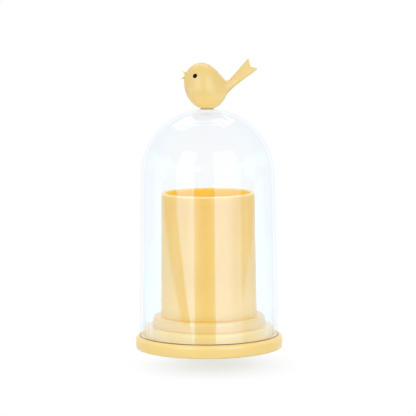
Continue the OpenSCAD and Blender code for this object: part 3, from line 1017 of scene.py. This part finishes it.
def white_room(scene, fill):
    """A white background that lights the pieces with a brightness of its own."""
    room = Finish(scene.world or bpy.data.worlds.new("room"))
    scene.world = room.owner
    seen = room.seen()
    back = room.node("Background", None, {"Color": WHITE, "Strength": seen + (1 - seen) * fill})
    room.surface(back["Background"])


def round_axis(turn, z):
    """A place at the panels' distance, in a direction in degrees round the axis, with 0 in front."""
    turn = math.radians(turn)
    return (PANEL_REACH * math.sin(turn), -PANEL_REACH * math.cos(turn), z)


def upright(first, last, upper, lower):
    """Corners of an upright panel between two directions, with the heights of its edges at both."""
    return (
        round_axis(first, upper[0]), round_axis(last, upper[1]),
        round_axis(last, lower[1]), round_axis(first, lower[0]),
    )


def bright_panel(name, corners, tone, strength):
    """A flat panel that shows in glossy surfaces, and neither straight nor through the clear dome."""
    bm = bmesh.new()
    bm.faces.new([bm.verts.new(corner) for corner in corners])
    panel = mesh_from(name, bm)
    panel.visible_camera = False
    panel.visible_diffuse = False
    panel.visible_shadow = False
    made = Finish(bpy.data.materials.new(name))
    path = made.node("LightPath")
    mirrored = path["Glossy Depth"].at_most(1)
    shown = 1 - path["Is Transmission Ray"] * (1 - mirrored)
    glow = made.mix_shaders(shown, made.let_through(WHITE), made.shine(tone, strength))
    panel.data.materials.append(made.surface(glow))


def soft_lamp(name, place, aim, size, strength):
    """A rectangular soft lamp with a brightness of its face, which doesn't show itself."""
    lamp = bpy.data.lights.new(name, "AREA")
    lamp.shape = "RECTANGLE"
    lamp.size, lamp.size_y = size
    lamp.energy = strength * math.pi * size[0] * size[1]
    made = bpy.data.objects.new(name, lamp)
    made.location = place
    made.rotation_euler = (Vector(aim) - Vector(place)).to_track_quat("-Z", "Y").to_euler()
    made.visible_camera = False
    made.visible_glossy = False
    made.visible_transmission = False
    bpy.context.scene.collection.objects.link(made)


def aimed_camera(scene, g):
    """The camera, in front of the holder and looking a little down."""
    lens = bpy.data.cameras.new("camera")
    lens.lens = g.focal
    lens.sensor_width = SENSOR_W
    camera = bpy.data.objects.new("camera", lens)
    back = Vector((0, -math.cos(g.pitch), math.sin(g.pitch)))
    camera.location = Vector((g.aim_x, 0, g.aim_z)) + back * g.distance
    roll = Matrix.Rotation(g.roll, 3, "Z").to_quaternion()
    camera.rotation_euler = ((-back).to_track_quat("-Z", "Y") @ roll).to_euler()
    scene.collection.objects.link(camera)
    scene.camera = camera


class HOLDER_OT_stage(bpy.types.Operator):
    """Pale floor, white room, bright panels, soft lamps and camera"""

    bl_idname = "holder.stage"
    bl_label = "Stage"

    def execute(self, context):
        scene = context.scene
        g = scene.holder_stage
        scene.view_settings.view_transform = "Standard"
        pale_floor()
        white_room(scene, g.fill)
        # First and last direction in degrees, and the heights of the upper and the lower edge at both
        for name, corners, strength in (
            ("left_panel", upright(-55, -23.5, AT_TOP, (0.001, -0.126)), g.left_lamp),
            ("low_left_panel", upright(-95, -38, (0.042, -0.114), AT_FOOT), g.low_lamp),
            ("low_front_panel", upright(-45, -23.5, (-0.098, -0.098), AT_FOOT), g.low_lamp),
            ("far_left_panel", upright(-126, -95, (-0.080, -0.083), AT_FOOT), g.low_lamp * g.far_left),
            ("far_right_panel", upright(110, 126, (-0.085, -0.085), AT_FOOT), g.far_lamp * g.far_right),
            ("right_panel", upright(11.3, 42, AT_TOP, (-0.22, -0.22)), g.right_lamp),
            ("side_panel", upright(42, 58.2, AT_TOP, (-0.22, -0.22)), g.right_lamp * g.side),
            ("low_right_panel", upright(58, 110, (-0.080, 0.056), AT_FOOT), g.far_lamp),
        ):
            bright_panel(name, corners, g.panel_tone, strength)
        bright_panel("top_panel", TOP_PANEL, g.top_tone, g.top_panel)
        soft_lamp("front_lamp", (0, -0.9, 0.14), (0, 0, 0.06), (1.6, 0.8), g.front_lamp)
        soft_lamp("top_lamp", (0, 0.5, 1.0), (0, 0, 0.13), (0.76, 0.80), g.top_lamp)
        aimed_camera(scene, g)
        return {"FINISHED"}


class HOLDER_PT_panel(bpy.types.Panel):
    """Lists the pieces and the settings"""

    bl_label = "Swab Holder"
    bl_idname = "HOLDER_PT_panel"
    bl_space_type = "VIEW_3D"
    bl_region_type = "UI"
    bl_category = "Swab Holder"

    def draw(self, context):
        for operator in OPERATORS:
            self.layout.operator(operator.bl_idname)
        for name in GROUPS:
            group = getattr(context.scene, name)
            box = self.layout.box()
            for key in group.__annotations__:
                box.prop(group, key)


GROUPS = {
    "holder_sizes": HolderSizes,
    "bird_sizes": BirdSizes,
    "holder_colours": HolderColours,
    "holder_stage": StageSettings,
}
OPERATORS = (
    HOLDER_OT_stage, HOLDER_OT_base, HOLDER_OT_cup, HOLDER_OT_bird, HOLDER_OT_eyes, HOLDER_OT_dome,
)


def register():
    for name, group in GROUPS.items():
        bpy.utils.register_class(group)
        setattr(bpy.types.Scene, name, PointerProperty(type=group))
    for item in (*OPERATORS, HOLDER_PT_panel):
        bpy.utils.register_class(item)


def unregister():
    for item in (HOLDER_PT_panel, *reversed(OPERATORS)):
        bpy.utils.unregister_class(item)
    for name, group in reversed(GROUPS.items()):
        delattr(bpy.types.Scene, name)
        bpy.utils.unregister_class(group)


def main():
    register()
    bpy.ops.holder.stage()
    bpy.ops.holder.base()
    bpy.ops.holder.cup()
    bpy.ops.holder.bird()
    bpy.ops.holder.eyes()
    bpy.ops.holder.dome()


if __name__ == "__main__":
    main()
